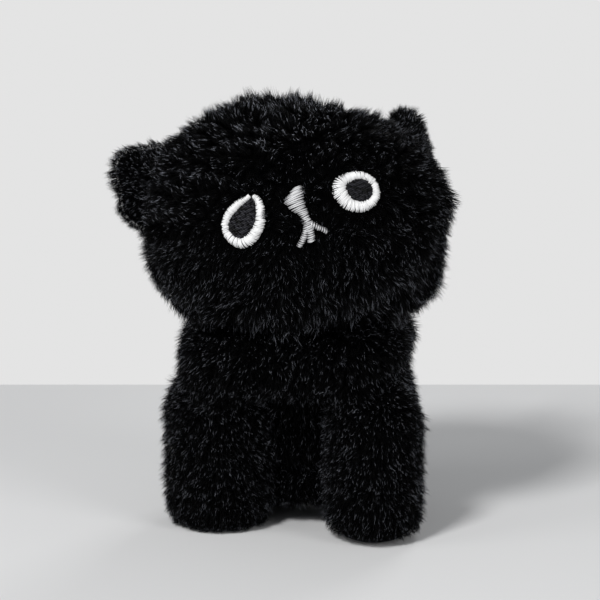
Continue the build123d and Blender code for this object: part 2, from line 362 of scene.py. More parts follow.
    def finish_strands(self, points: Socket, **given: object) -> None:
        """Copies shapes onto points and gives them their bake map and material.

        Args:
            points: Where the shapes go, with strand_shade.
            **given: The other inputs of Instance on Points.
        """
        copied = self.out("GeometryNodeInstanceOnPoints", "Instances", Points=points, **given)
        solid = self.out("GeometryNodeRealizeInstances", "Geometry", Geometry=copied)
        shade, along = self.attribute("strand_shade"), self.attribute("strand_along")
        chart = self.out("ShaderNodeCombineXYZ", X=shade, Y=along)
        mapped = self.stored(solid, BAKE_MAP, chart, "FLOAT2", "CORNER")
        material = self.entry["Material"]
        painted = self.out("GeometryNodeSetMaterial", Geometry=mapped, Material=material)
        self.join(painted, self.exit["Geometry"])

    def run(self, mesh: bpy.types.Mesh, name: str, values: dict[str, object]) -> bpy.types.Mesh:
        """Applies the tree to a mesh and returns what comes out as a plain mesh.

        Args:
            mesh: What goes in.
            name: Name of the new mesh.
            values: Values for the tree's named inputs.

        Returns:
            The finished mesh, with no modifier left on it.
        """
        holder = new_object(name + "_ground", mesh)
        modifier = holder.modifiers.new("made", "NODES")
        modifier.node_group = self.tree
        for item in self.tree.interface.items_tree:
            if item.item_type == "SOCKET" and item.in_out == "INPUT" and item.name in values:
                modifier[item.identifier] = values[item.name]
        made = evaluated_mesh(holder)
        made.name = name
        holder.modifiers.remove(modifier)
        bpy.data.objects.remove(holder)
        return made


# ------------------------------------------------------------------ finishes


def strand_tone_group() -> bpy.types.NodeTree:
    """Colour along a strand: dark at the root, a little lighter to the tip, each strand its own,
    with a painted highlight in a pale colour on the outer tips of a few strands.
    """
    inputs = (
        ("Root", "Color", (0.01, 0.01, 0.01, 1)),
        ("Tip", "Color", (0.03, 0.03, 0.03, 1)),
        # The third colour and the two numbers after it paint a highlight on strand tips: its pale
        # colour, the strand tone from which it is painted, and how far out along the strand it
        # begins.
        ("Glint", "Color", (0.1, 0.1, 0.1, 1)),
        ("Glint From", "Float", 0.9),
        ("Glint Along", "Float", 0.64),
        ("Spread", "Float", 0.5),
        ("Shade", "Float", 0.5),
        ("Along", "Float", 0.5),
    )
    graph = Graph.group("strand_tone", "Shader", inputs, "Color")
    entry = graph.entry
    base = graph.mixed(graph.math("POWER", entry["Along"], 2.0), entry["Root"], entry["Tip"])
    swing = graph.times(graph.math("SUBTRACT", entry["Shade"], 0.5), entry["Spread"])
    toned = graph.scaled(base, graph.math("MULTIPLY_ADD", swing, 2.0, 1.0))
    # Painted highlight: strands of the lightest tones get a pale colour towards their tips, in place
    # of the glint of light on real fibres.
    picked = graph.smooth_step(entry["Shade"], entry["Glint From"], 1.0)
    highlight_reach = graph.smooth_step(entry["Along"], entry["Glint Along"], 0.85)
    painted_highlight_colour = graph.mixed(graph.times(picked, highlight_reach), toned, entry["Glint"])
    graph.join(painted_highlight_colour, graph.exit["Color"])
    return graph.tree


def plain_material(name: str, roughness: float, specular: float) -> bpy.types.Material:
    """A material with only its Principled shader, at a roughness and a specular level."""
    made = bpy.data.materials.new(name)
    made.use_nodes = True
    shader = made.node_tree.nodes["Principled BSDF"]
    shader.inputs["Roughness"].default_value = roughness
    shader.inputs["Specular IOR Level"].default_value = specular
    return made


@dataclass(frozen=True)
class StrandFinish:
    """Finish of fibres or threads that carry their own shade and length attributes."""

    name: str
    root: Triple
    tip: Triple
    spread: float  # how much the strands differ in tone
    roughness: float
    specular: float = 0.5
    glint: Triple | None = None  # pale colour painted on the tips of a few strands as a highlight; None paints none
    glint_from: float = 0.86  # the strand tone from which the painted highlight is laid on

    def material(self, tone: bpy.types.NodeTree) -> bpy.types.Material:
        """Builds the material.

        Args:
            tone: The shared group that colours a strand.

        Returns:
            A material that reads strand_shade and strand_along.
        """
        made = plain_material(self.name, self.roughness, self.specular)
        graph = Graph(made.node_tree)
        shade, along = (
            graph.out("ShaderNodeAttribute", "Fac", attribute_name=name)
            for name in ("strand_shade", "strand_along")
        )
        colour = graph.out(
            "ShaderNodeGroup",
            "Color",
            node_tree=tone,
            Root=(*self.root, 1.0),
            Tip=(*self.tip, 1.0),
            # With no painted highlight given, the tip colour stands in its place, so nothing is
            # painted.
            Glint=(*(self.glint or self.tip), 1.0),
            Glint_From=self.glint_from,
            Spread=self.spread,
            Shade=shade,
            Along=along,
        )
        graph.join(colour, made.node_tree.nodes["Principled BSDF"].inputs["Base Color"])
        return made


@dataclass(frozen=True)
class ClothFinish:
    """Plain cloth: one colour, broken up by a fine weave."""

    name: str
    colour: Triple
    roughness: float
    specular: float = 0.5
    weave: float = 0.0
    relief: float = 0.5

    def material(self, _tone: bpy.types.NodeTree) -> bpy.types.Material:
        """Builds the material.

        Args:
            _tone: Not used, because cloth has no strands.

        Returns:
            The material, with a weave in its height where it has one.
        """
        made = plain_material(self.name, self.roughness, self.specular)
        graph = Graph(made.node_tree)
        shader = made.node_tree.nodes["Principled BSDF"]
        shader.inputs["Base Color"].default_value = (*self.colour, 1.0)
        if self.weave > 0:
            where = graph.out("ShaderNodeTexCoord", "Object")
            fine = {"Vector": where, "Scale": 1 / self.weave, "Detail": 2.0}
            height = graph.out("ShaderNodeTexNoise", "Fac", **fine)
            bumped = {"Strength": self.relief, "Distance": self.weave, "Height": height}
            graph.join(graph.out("ShaderNodeBump", "Normal", **bumped), shader.inputs["Normal"])
        return made


class Finish(Enum):
    """The cat's finishes."""

    PILE = StrandFinish(
        "black_pile",
        root=(0.0007, 0.0007, 0.0009),
        tip=(0.0020, 0.0021, 0.0025),
        spread=0.6,
        roughness=0.32,
        specular=0.05,
        # Painted highlight: a pale grey-blue on the tips of the lightest strands, in place of real
        # glints.
        glint=(0.58, 0.61, 0.70),
        glint_from=0.83,
    )
    WHITE = StrandFinish("white_thread", (0.80, 0.80, 0.80), (0.88, 0.88, 0.88), 0.08, 0.45)
    SILVER = StrandFinish("silver_thread", (0.34, 0.34, 0.35), (0.62, 0.62, 0.63), 0.22, 0.38)
    BLACK = StrandFinish(
        "black_thread", (0.004, 0.004, 0.005), (0.016, 0.016, 0.020), 1.2, 0.4, specular=0.25
    )
    BACKING = ClothFinish("pile_backing", (0.0004, 0.0004, 0.0005), 0.95, specular=0.02)
    SEAM = ClothFinish("seam_thread", (0.02, 0.02, 0.022), 0.6, weave=0.3 * MM)


@dataclass
class Wardrobe:
    """The finished materials, each built once."""

    made: dict[Finish, bpy.types.Material] = field(default_factory=dict)

    def __post_init__(self) -> None:
        """Builds every finish."""
        tone = strand_tone_group()
        for finish in Finish:
            self.made[finish] = finish.value.material(tone)

    def mark(self, piece: bpy.types.Object, finish: Finish) -> None:
        """Logs a piece's name, its number of faces and its finish's name."""
        LOG.info("%s: %d faces, %s", piece.name, len(piece.data.polygons), finish.value.name)

    def dress(self, piece: bpy.types.Object, finish: Finish) -> None:
        """Gives a piece one finish and logs it."""
        piece.data.materials.clear()
        piece.data.materials.append(self.made[finish])
        self.mark(piece, finish)


# ------------------------------------------------------------------ pile and thread


@dataclass
class Copier:
    """Makes pieces by copying small hidden shapes onto points through a node tree."""

    wardrobe: Wardrobe
    shapes: list[bpy.types.Object] = field(init=False)
    graph: Graph = field(init=False)

    def __post_init__(self) -> None:
        """Makes the shapes and the tree."""
        self.shapes = self.make_shapes()
        self.graph = self.tree()

    def copied(
        self, ground: bpy.types.Mesh, name: str, finish: Finish, values: dict[str, object]
    ) -> bpy.types.Object:
        """One piece as a plain mesh.

        Args:
            ground: What the tree starts from.
            name: Name of the piece.
            finish: Its finish.
            values: Values for the tree's named inputs, but for its material.

        Returns:
            The piece.
        """
        material = {"Material": self.wardrobe.made[finish]}
        made = new_object(name, self.graph.run(ground, name, values | material))
        self.wardrobe.mark(made, finish)
        return made

    def clear(self) -> None:
        """Removes the hidden shapes."""
        for shape in self.shapes:
            bpy.data.objects.remove(shape)


@dataclass(frozen=True)
class Pile:
    """How one patch of pile is planted."""

    density: float  # strands on a square millimetre
    seed: int
    clump: float = 1.0 * MM  # least distance between two clumps
    pull: float = 0.6  # how far a strand is drawn to its clump's tip
    ruffle: float = 0.5  # how far a clump leans away from the comb
    stray: float = 0.4  # how far a strand does
    # Lower values leave out the darkest strands, so that the patch is lighter and more strands carry
    # the painted highlight; it is set per patch to paint light.
    tone_and_highlight_share: float = 1.0  # less than 1 leaves out the darkest strands


@dataclass
class PileMaker(Copier):
    """Plants strands on a skin: each leans with the comb and is drawn to its clump's tip."""

    bows: tuple[float, ...] = (0.07, 0.11, 0.03, 0.14)  # one for each strand shape
    thickness: float = 0.0155  # at its corners
    bend: float = 0.32  # where along a strand its corners are
    girth_scale: float = 5 * MM  # a strand's girth is the root of this times its length
    lengths: tuple[float, float] = (0.62, 1.06)  # of the way to the strand's tip
    longest: float = 1.45  # times the pile's length
    clump_lengths: tuple[float, float] = (0.72, 1.42)  # times the pile's length
    pulls: tuple[float, float] = (0.6, 1.0)  # share of the patch's pull
    clumps_at_most: float = 2.5 / MM**2
    floor_gap: float = 0.05 * MM  # no strand comes nearer to the ground

    def make_shapes(self) -> list[bpy.types.Object]:
        """Tapered strands of length one along Z, each bowed towards +X by its own amount."""
        return [self.strand(number, bow) for number, bow in enumerate(self.bows)]

    def strand(self, number: int, bow: float) -> bpy.types.Object:
        """One strand: three corners between a root and a tip.

        Args:
            number: Which of the shapes this is.
            bow: How far its middle stands off the straight line.

        Returns:
            A hidden object that the planting tree copies.
        """
        points = [(0.0, 0.0, 0.0), (0.0, 0.0, 1.0)]
        faces: list[tuple[int, ...]] = []
        for corner in range(3):
            angle = math.tau * corner / 3 + number
            out = (self.thickness * math.cos(angle), self.thickness * math.sin(angle))
            points.append((bow + out[0], out[1], self.bend))
            this, other = corner + 2, (corner + 1) % 3 + 2
            faces += [(0, other, this), (this, other, 1)]
        along = np.array([point[2] for point in points])
        return hidden_shape(f"strand_{number}", points, faces, along)

    def tree(self) -> Graph:
        """The planting tree."""
        inputs = (
            ("Geometry", "Geometry", None),
            ("Density", "Float", 7e6),
            ("Clump Distance", "Float", 2.6 * MM),
            ("Clump Pull", "Float", 0.6),
            ("Ruffle", "Float", 0.3),
            ("Stray", "Float", 0.2),
            ("Dark Share", "Float", 1.0),
            ("Seed", "Int", 1),
            ("Material", "Material", None),
        )
        graph = Graph.group("plant_pile", "Geometry", inputs, "Geometry")
        entry, ground = graph.entry, graph.entry["Geometry"]
        length = graph.attribute("pile_length")
        position = graph.out("GeometryNodeInputPosition")
        planted = graph.node(
            "GeometryNodeDistributePointsOnFaces",
            distribute_method="RANDOM",
            Mesh=ground,
            Density=graph.times(entry["Density"], graph.attribute("pile_density")),
            Seed=graph.seed(Draw.ROOT_PLACE),
        ).outputs
        clumps = graph.out(
            "GeometryNodeDistributePointsOnFaces",
            "Points",
            distribute_method="POISSON",
            Mesh=ground,
            Distance_Min=entry["Clump Distance"],
            Density_Max=self.clumps_at_most,
            Density_Factor=1.0,
            Seed=graph.seed(Draw.CLUMP_PLACE),
        )
        nearest = graph.out(
            "GeometryNodeSampleNearest",
            "Index",
            domain="POINT",
            Geometry=clumps,
            Sample_Position=position,
        )
        clump_length = graph.times(length, graph.random(Draw.CLUMP_LENGTH, self.clump_lengths))
        drawn_to = graph.out(
            "GeometryNodeSampleIndex",
            "Value",
            data_type="FLOAT_VECTOR",
            domain="POINT",
            Geometry=clumps,
            Value=self.tip(graph, entry["Ruffle"], position, clump_length, Draw.CLUMP_LEAN),
            Index=nearest,
        )
        tip = graph.out(
            "ShaderNodeMix",
            1,
            data_type="VECTOR",
            factor_mode="UNIFORM",
            in_0=graph.times(entry["Clump Pull"], graph.random(Draw.STRAND_PULL, self.pulls)),
            in_4=self.tip(graph, entry["Stray"], position, length, Draw.STRAND_LEAN),
            in_5=drawn_to,
        )
        reach = graph.vector("SUBTRACT", tip, position)
        own_length = graph.random(Draw.STRAND_LENGTH, self.lengths)
        size = graph.times(graph.vector("LENGTH", reach), own_length)
        size = graph.math("MINIMUM", size, graph.times(length, self.longest))
        girth = graph.math("SQRT", graph.times(size, self.girth_scale))
        gathered = graph.node("GeometryNodeGeometryToInstance")
        for shape in self.shapes:
            held = graph.out("GeometryNodeObjectInfo", "Geometry", Object=shape)
            graph.join(held, gathered.inputs[0])
        # Fewer dark strands where this share is lower, so that more of them reach the painted
        # highlight.
        dark = graph.times(graph.random(Draw.STRAND_SHADE, (0.0, 1.0)), entry["Dark Share"])
        shade = graph.math("MAXIMUM", graph.math("SUBTRACT", 1.0, dark), 0.0)
        graph.finish_strands(
            graph.stored(planted["Points"], "strand_shade", shade),
            Instance=gathered.outputs[0],
            Pick_Instance=True,
            Instance_Index=graph.random(Draw.STRAND_SHAPE, (0, len(self.shapes) - 1), "INT"),
            Rotation=graph.aligned("X", "Z", planted["Normal"], graph.aligned("Z", "AUTO", reach)),
            Scale=graph.out("ShaderNodeCombineXYZ", X=girth, Y=girth, Z=size),
        )
        return graph

    def tip(self, graph: Graph, stray: Socket, root: Socket, length: Socket, draw: Draw) -> Socket:
        """Where a strand or a clump ends.

        Args:
            graph: The planting tree.
            stray: How far it may lean away from the comb.
            root: Where it starts.
            length: How long it is.
            draw: Which random draw leans it.

        Returns:
            The tip's position.
        """
        lean = graph.random(draw, ((-1.0, -1.0, -1.0), (1.0, 1.0, 1.0)), "FLOAT_VECTOR")
        comb = graph.attribute("comb", "FLOAT_VECTOR")
        way = graph.vector("NORMALIZE", graph.vector("ADD", comb, graph.scaled(lean, stray)))
        return graph.vector("ADD", root, graph.scaled(way, length))

    def plant(self, skin: bpy.types.Mesh, name: str, share: Array, pile: Pile) -> bpy.types.Object:
        """Plants one patch.

        Args:
            skin: Mesh with the comb and pile_length attributes.
            name: Name of the piece.
            share: From 0 to 1 for each vertex, how densely it is planted.
            pile: How the patch is planted.

        Returns:
            The patch, with no strand below the ground.
        """
        put_attribute(skin, "pile_density", share)
        values = {
            "Density": pile.density / MM**2,
            "Clump Distance": pile.clump,
            "Clump Pull": pile.pull,
            "Ruffle": pile.ruffle,
            "Stray": pile.stray,
            "Dark Share": pile.tone_and_highlight_share,
            "Seed": pile.seed,
        }
        made = self.copied(skin, name, Finish.PILE, values)
        points = rows_of(made.data.vertices)
        points[:, 2] = np.maximum(points[:, 2], self.floor_gap)
        place_vertices(made.data, points)
        return made


@dataclass
class Guide:
    """Where the stitches of one piece lie."""

    middles: list[Vector] = field(default_factory=list)
    runs: list[Vector] = field(default_factory=list)  # from one end of a stitch to the other
    faced: list[Vector] = field(default_factory=list)

    def add(self, middle: Vector, run: Vector, faced: Vector) -> None:
        """Adds a stitch: its middle, its run from end to end and the way it faces."""
        self.middles.append(middle)
        self.runs.append(run)
        self.faced.append(faced)

    def mesh(self, name: str) -> bpy.types.Mesh:
        """Loose points with the stitch_run and stitch_up attributes."""
        mesh = bpy.data.meshes.new(name + "_guide")
        mesh.from_pydata([tuple(middle) for middle in self.middles], [], [])
        put_attribute(mesh, "stitch_run", np.array(self.runs, float).reshape(-1, 3))
        put_attribute(mesh, "stitch_up", np.array(self.faced, float).reshape(-1, 3))
        return mesh


@dataclass
class Sewing(Copier):
    """Lays arched threads on the points of a guide."""

    sides: int = 5
    steps: int = 5
    end_girth: float = 0.55  # share of the thread's width that its ends keep
    end_trim: float = 0.06  # share of the stitch at each end that grows no thinner
    flatness: float = 0.7  # a thread's height over its width
    widths: tuple[float, float] = (0.85, 1.15)
    arches: tuple[float, float] = (0.8, 1.2)

    def sew(
        self, guide: Guide, name: str, finish: Finish, thread: float, arch: float
    ) -> bpy.types.Object:
        """Sews one piece.

        Args:
            guide: Where its stitches lie.
            name: Name of the piece.
            finish: Its thread.
            thread: The thread's width.
            arch: How far a stitch stands up in its middle.

        Returns:
            The stitches as one plain mesh.
        """
        values = {"Thread": thread, "Arch": arch, "Seed": len(name)}
        return self.copied(guide.mesh(name), name, finish, values)

    def make_shapes(self) -> list[bpy.types.Object]:
        """One arched stitch of length one along X, with closed ends."""
        sides, steps = self.sides, self.steps
        points, faces = [], []
        for step in range(steps + 1):
            t = step / steps
            inner = min(max(t, self.end_trim), 1 - self.end_trim)
            swell = (1 - self.end_girth) * math.sin(math.pi * inner) ** 0.5
            girth = 0.5 * (self.end_girth + swell)
            rise = math.sin(math.pi * t) ** 0.7 if 0 < step < steps else 0.0
            for side in range(sides):
                angle = math.tau * side / sides
                up = rise + self.flatness * girth * math.sin(angle)
                points.append((t - 0.5, girth * math.cos(angle), up))
        for base in range(0, steps * sides, sides):
            over = base + sides
            for side in range(sides):
                other = (side + 1) % sides
                faces.append((base + side, base + other, over + other, over + side))
        faces.append(tuple(reversed(range(sides))))
        faces.append(tuple(steps * sides + side for side in range(sides)))
        along = np.clip((np.array([point[2] for point in points]) + 0.3) / 1.5, 0, 1)
        made = hidden_shape("stitch_shape", points, faces, along)
        checked = bmesh.new()
        checked.from_mesh(made.data)
        bmesh.ops.recalc_face_normals(checked, faces=checked.faces)
        checked.to_mesh(made.data)
        checked.free()
        return [made]

    def tree(self) -> Graph:
        """The tree that lays one thread on each point of a guide."""
        inputs = (
            ("Geometry", "Geometry", None),
            ("Thread", "Float", 0.4 * MM),
            ("Arch", "Float", 0.3 * MM),
            ("Seed", "Int", 1),
            ("Material", "Material", None),
        )
        graph = Graph.group("sew_stitches", "Geometry", inputs, "Geometry")
        entry = graph.entry
        run, up = (graph.attribute(name, "FLOAT_VECTOR") for name in ("stitch_run", "stitch_up"))
        girth = graph.times(entry["Thread"], graph.random(Draw.THREAD_WIDTH, self.widths))
        rise = graph.times(entry["Arch"], graph.random(Draw.THREAD_ARCH, self.arches))
        reach = graph.vector("LENGTH", run)
        shade = graph.random(Draw.THREAD_SHADE, (0.0, 1.0))
        graph.finish_strands(
            graph.stored(entry["Geometry"], "strand_shade", shade),
            Instance=graph.out("GeometryNodeObjectInfo", "Geometry", Object=self.shapes[0]),
            Rotation=graph.aligned("Z", "X", up, graph.aligned("X", "AUTO", run)),
            Scale=graph.out("ShaderNodeCombineXYZ", X=reach, Y=girth, Z=rise),
        )
        return graph


# ------------------------------------------------------------------ skins


@dataclass(frozen=True)
class Cushion:
    """A squarish rounded form, for where stuffing fills the cloth out."""

    centre: Vector
    half: Triple
    square: float = 0.6  # 1 is a plain ball, less is squarer
    fineness: int = 5

    def add_to(self, joined: bmesh.types.BMesh) -> None:
        """Adds the form's faces to a mesh under construction."""
        ball = bmesh.ops.create_icosphere(joined, subdivisions=self.fineness, radius=1.0)
        for vert in ball["verts"]:
            vert.co = self.centre + Vector(
                math.copysign(abs(part) ** self.square, part) * size
                for part, size in zip(vert.co, self.half)
            )


@dataclass
class Skin:
    """The backing cloth of one body, which carries the comb for its pile."""

    name: str
    mesh: bpy.types.Mesh
    swirl: float = 0.45  # how far the pile's flow wanders
    swirl_size: float = 13 * MM
    unevenness: float = 0.16  # of the pile's length
    drift_size: float = 8 * MM
    points: Array = field(init=False)
    normals: Array = field(init=False)

    def __post_init__(self) -> None:
        """Reads the mesh's positions and normals."""
        round_off(self.mesh)
        self.refresh()

    def refresh(self) -> None:
        """Reads the positions and normals again after a change of shape."""
        self.points = rows_of(self.mesh.vertices)
        self.normals = rows_of(self.mesh.vertex_normals, "vector")

    def move(self, points: Array) -> None:
        """Gives the skin's vertices new places."""
        place_vertices(self.mesh, points)
        self.refresh()

    def surface(self) -> BVHTree:
        """The skin as a surface that rays can meet."""
        faces = [tuple(face.vertices) for face in self.mesh.polygons]
        return BVHTree.FromPolygons([tuple(point) for point in self.points], faces)

    def level_from(self, middle: Array) -> Array:
        """For each vertex, the level way that leads from a middle out to it."""
        outwards = self.points - middle
        outwards[:, 2] = 0
        return unit(outwards)

    @classmethod
    def around(
        cls,
        name: str,
        nodes: Sequence[str],
        inset: float,
        grain: float,
        cushions: Sequence[Cushion] = (),
    ) -> "Skin":
        """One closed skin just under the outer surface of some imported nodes.

        Args:
            name: Name of the skin.
            nodes: The nodes it wraps together.
            inset: How far under their surface it lies.
            grain: Size of its faces.
            cushions: Soft forms that fill it out further.

        Returns:
            The skin.
        """
        joined = bmesh.new()
        for node in nodes:
            joined.from_mesh(frame["nodes"][node].data)
        bmesh.ops.remove_doubles(joined, verts=joined.verts, dist=0.001 * MM)
        for cushion in cushions:
            cushion.add_to(joined)
        mesh = bpy.data.meshes.new(name)
        joined.to_mesh(mesh)
        joined.free()
        holder = new_object(name, mesh)
        for kind, settings in (
            ("REMESH", {"mode": "VOXEL", "voxel_size": grain}),
            ("SMOOTH", {"factor": 0.5, "iterations": 8}),
            ("DISPLACE", {"mid_level": 0.0, "strength": -inset}),
        ):
            modifier = holder.modifiers.new(kind.lower(), kind)
            for key, value in settings.items():
                setattr(modifier, key, value)
        made = evaluated_mesh(holder)
        bpy.data.objects.remove(holder)
        bpy.data.meshes.remove(mesh)
        return cls(name, made)

    def comb(self, flow: Array, lean: Array | float, length: Array | float) -> None:
        """Lays the pile.

        Args:
            flow: The way the pile runs at each point; only its part along the cloth counts.
            lean: From 0, upright, to 1, flat.
            length: Length of the pile.
        """
        lean_all = np.broadcast_to(np.asarray(lean, float), (len(self.points),))[:, None]
        flow = unit(flow) + self.swirl * wander(self.points, self.swirl_size, seed=5)
        along = flow - (flow * self.normals).sum(1)[:, None] * self.normals
        way = unit(self.normals * (1 - lean_all) + unit(along) * lean_all)
        put_attribute(self.mesh, "comb", way)
        drift = np.clip(wander(self.points, self.drift_size, seed=6)[:, 0], -1.5, 1.5)
        uneven = 1.0 + self.unevenness * drift
        put_attribute(self.mesh, "pile_length", uneven * np.asarray(length, float))


@dataclass
class Part:
    """A part of the cat: a backing cloth and the pile planted on it."""

    wardrobe: Wardrobe
    pile_maker: PileMaker

    def backing(self, skin: Skin) -> bpy.types.Object:
        """The skin's own cloth as a finished piece."""
        mesh = skin.mesh.copy()
        for held in ("comb", "pile_length"):
            mesh.attributes.remove(mesh.attributes[held])
        made = new_object(skin.name, mesh)
        self.wardrobe.dress(made, Finish.BACKING)
        return made

    def covered(
        self, skin: Skin, pile: Pile, share: Array | None = None
    ) -> tuple[bpy.types.Object, bpy.types.Object]:
        """A part with one patch of pile.

        Args:
            skin: Its skin, already combed.
            pile: How the pile is planted.
            share: From 0 to 1 for each vertex, how densely; left out, it is 1 all over.

        Returns:
            The backing and the patch.
        """
        share = np.ones(len(skin.points)) if share is None else share
        backing = self.backing(skin)
        name = skin.name.replace("backing", "pile")
        return backing, self.pile_maker.plant(skin.mesh, name, share, pile)

    def panels(self, skin: Skin, body: str, rows: Sequence[tuple[str, Array, str, Pile]]) -> None:
        """Plants patches that ride one body.

        Args:
            skin: What they are planted on, already combed.
            body: What they ride.
            rows: Name, density share, panel it takes the place of, and pile of each patch.
        """
        for name, share, panel, pile in rows:
            patch = self.pile_maker.plant(skin.mesh, name, share.astype(float), pile)
            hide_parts(panel)
            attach(patch, body)


# ------------------------------------------------------------------ embroidery


@dataclass(frozen=True)
class Motif:
    """One embroidered motif in the face's plane, in millimetres."""

    name: str
    node: str
    finish: Finish

    @property
    def edge(self) -> Zone:
        """From its edge, the distances between which the pile sets in, in metres."""
        return (-0.1 * MM, 0.35 * MM)

    def cover(self, places: Array) -> Array:
        """1 inside the motif, 0 clear of it."""
        return 1.0 - ramp(self.gap(places), *self.edge)


@dataclass(frozen=True)
class Band(Motif):
    """A satin-stitched band along a line of points, each with its own width."""

    line: tuple[Triple, ...]  # x, z, width
    closed: bool = False
    slant: float | None = None  # degrees above level, or None for straight across
    tilt: float = 0.0  # degrees away from straight across
    pitch: float = 0.30
    thread_share: float = 1.0
    arch_share: float = 1.0
    lift_share: float = 1.0
    sway: float = 3.5  # degrees by which stitches differ
    stray: float = 0.03
    probe: float = 0.1  # how far either way the line's run is read

    def smooth_line(self, steps: int = 12) -> Array:
        """Rounds the line off between its given points.

        Args:
            steps: How many points lead from one given point to the next.

        Returns:
            The line's points and widths, in metres.
        """
        given = np.array(self.line, float)
        count = len(given)
        rows = []
        for index in range(count if self.closed else count - 1):
            picked = np.arange(index - 1, index + 3)
            picked = picked % count if self.closed else np.clip(picked, 0, count - 1)
            a, b, c, d = given[picked]
            for step in range(steps):
                t = step / steps
                bent = (2 * a - 5 * b + 4 * c - d) * t**2 + (3 * b - a - 3 * c + d) * t**3
                rows.append(0.5 * (2 * b + (c - a) * t + bent))
        rows.append(given[0] if self.closed else given[-1])
        return np.array(rows) * MM

    def stitches(self, rng: np.random.Generator) -> list[tuple[Array, Array]]:
        """Lays the stitches side by side along the line.

        Args:
            rng: Where their small unevenness comes from.

        Returns:
            Both ends of every stitch in the face's plane.
        """
        line = self.smooth_line()
        steps = np.linalg.norm(np.diff(line[:, :2], axis=0), axis=1)
        travelled = np.concatenate([[0.0], np.cumsum(steps)])

        def at(place: float) -> Array:
            """The line's point and width at a distance along it."""
            return np.array([np.interp(place, travelled, column) for column in line.T])

        count = max(int(travelled[-1] / (self.pitch * MM)), 2)
        found = []
        for place in np.linspace(0, travelled[-1], count + 1)[: count if self.closed else None]:
            x, z, width = at(place)
            run = unit((at(place + self.probe * MM) - at(place - self.probe * MM))[:2])
            if self.slant is None:
                angle = math.atan2(run[0], -run[1]) + math.radians(self.tilt)
            else:
                angle = math.radians(self.slant)
            angle += math.radians(rng.normal(0, self.sway))
            way = np.array([math.cos(angle), math.sin(angle)])
            cross = abs(way[0] * run[1] - way[1] * run[0])
            half = width / 2 / max(cross, 0.45)
            middle = np.array([x, z]) + rng.normal(0, self.stray * MM, 2)
            first = middle - way * half * rng.uniform(0.9, 1.12)
            last = middle + way * half * rng.uniform(0.9, 1.12)
            found.append((first, last))
        return found

    def gap(self, places: Array) -> Array:
        """Measures places against the band's edge.

        Args:
            places: Rows of x and z in the face's plane, in metres.

        Returns:
            Distance from each to the edge, below zero inside it.
        """
        line = self.smooth_line(6)
        away = np.linalg.norm(places[:, None, :] - line[None, :, :2], axis=2) - line[:, 2] / 2
        return away.min(axis=1)


@dataclass(frozen=True)
class Teardrop(Motif):
    """A filled teardrop: a disc drawn out to a tip, in rows of short stitches."""

    centre: tuple[float, float]
    radius: float
    tip: tuple[float, float]
    slant: float = -38.0  # degrees
    pitch: float = 0.34
    stitch: float = 1.5
    overlap: float = 0.05
    thread_share: float = 0.8
    arch_share: float = 0.45
    lift_share: float = 0.35

    def gap(self, places: Array) -> Array:
        """Measures places against the outline.

        Args:
            places: Rows of x and z in the face's plane, in metres.

        Returns:
            Distance from each to the outline, below zero inside it.
        """
        middle = np.array(self.centre) * MM
        axis = np.array(self.tip) * MM - middle
        reach = float(np.linalg.norm(axis))
        t = np.clip((places - middle) @ axis / reach**2, 0.0, 1.0)
        nearest = middle + t[:, None] * axis
        girth = self.radius * MM * (1 - t) ** 0.8
        return np.linalg.norm(places - nearest, axis=1) - girth

    def stitches(self, rng: np.random.Generator) -> list[tuple[Array, Array]]:
        """Lays the stitches in rows, each set off from the next.

        Args:
            rng: Where their small unevenness comes from.

        Returns:
            Both ends of every stitch in the face's plane.
        """
        angle = math.radians(self.slant)
        way = np.array([math.cos(angle), math.sin(angle)])
        side = np.array([-way[1], way[0]])
        middle = np.array(self.centre) * MM
        reach = 2.2 * self.radius * MM
        found = []
        for row in range(int(2 * reach / (self.pitch * MM))):
            off = -reach + row * self.pitch * MM
            start = -reach + (row % 3) * self.stitch * MM / 3
            while start < reach:
                stop = start + self.stitch * MM * rng.uniform(0.85, 1.1)
                ends = np.array([start, stop])[:, None] * way + side * off + middle
                found += self.clipped(ends)
                start = stop - self.overlap * MM
        return found

    def clipped(self, ends: Array, steps: int = 13, least: int = 4) -> list[tuple[Array, Array]]:
        """The part of a stitch inside the outline.

        Args:
            ends: Both ends of the stitch.
            steps: How many places along it are tried.
            least: How many of them have to be inside.

        Returns:
            The shortened stitch, or nothing where it is too short to sew.
        """
        places = ends[0] + (ends[1] - ends[0]) * np.linspace(0, 1, steps)[:, None]
        kept = places[self.gap(places) < 0]
        return [(kept[0], kept[-1])] if len(kept) >= least else []


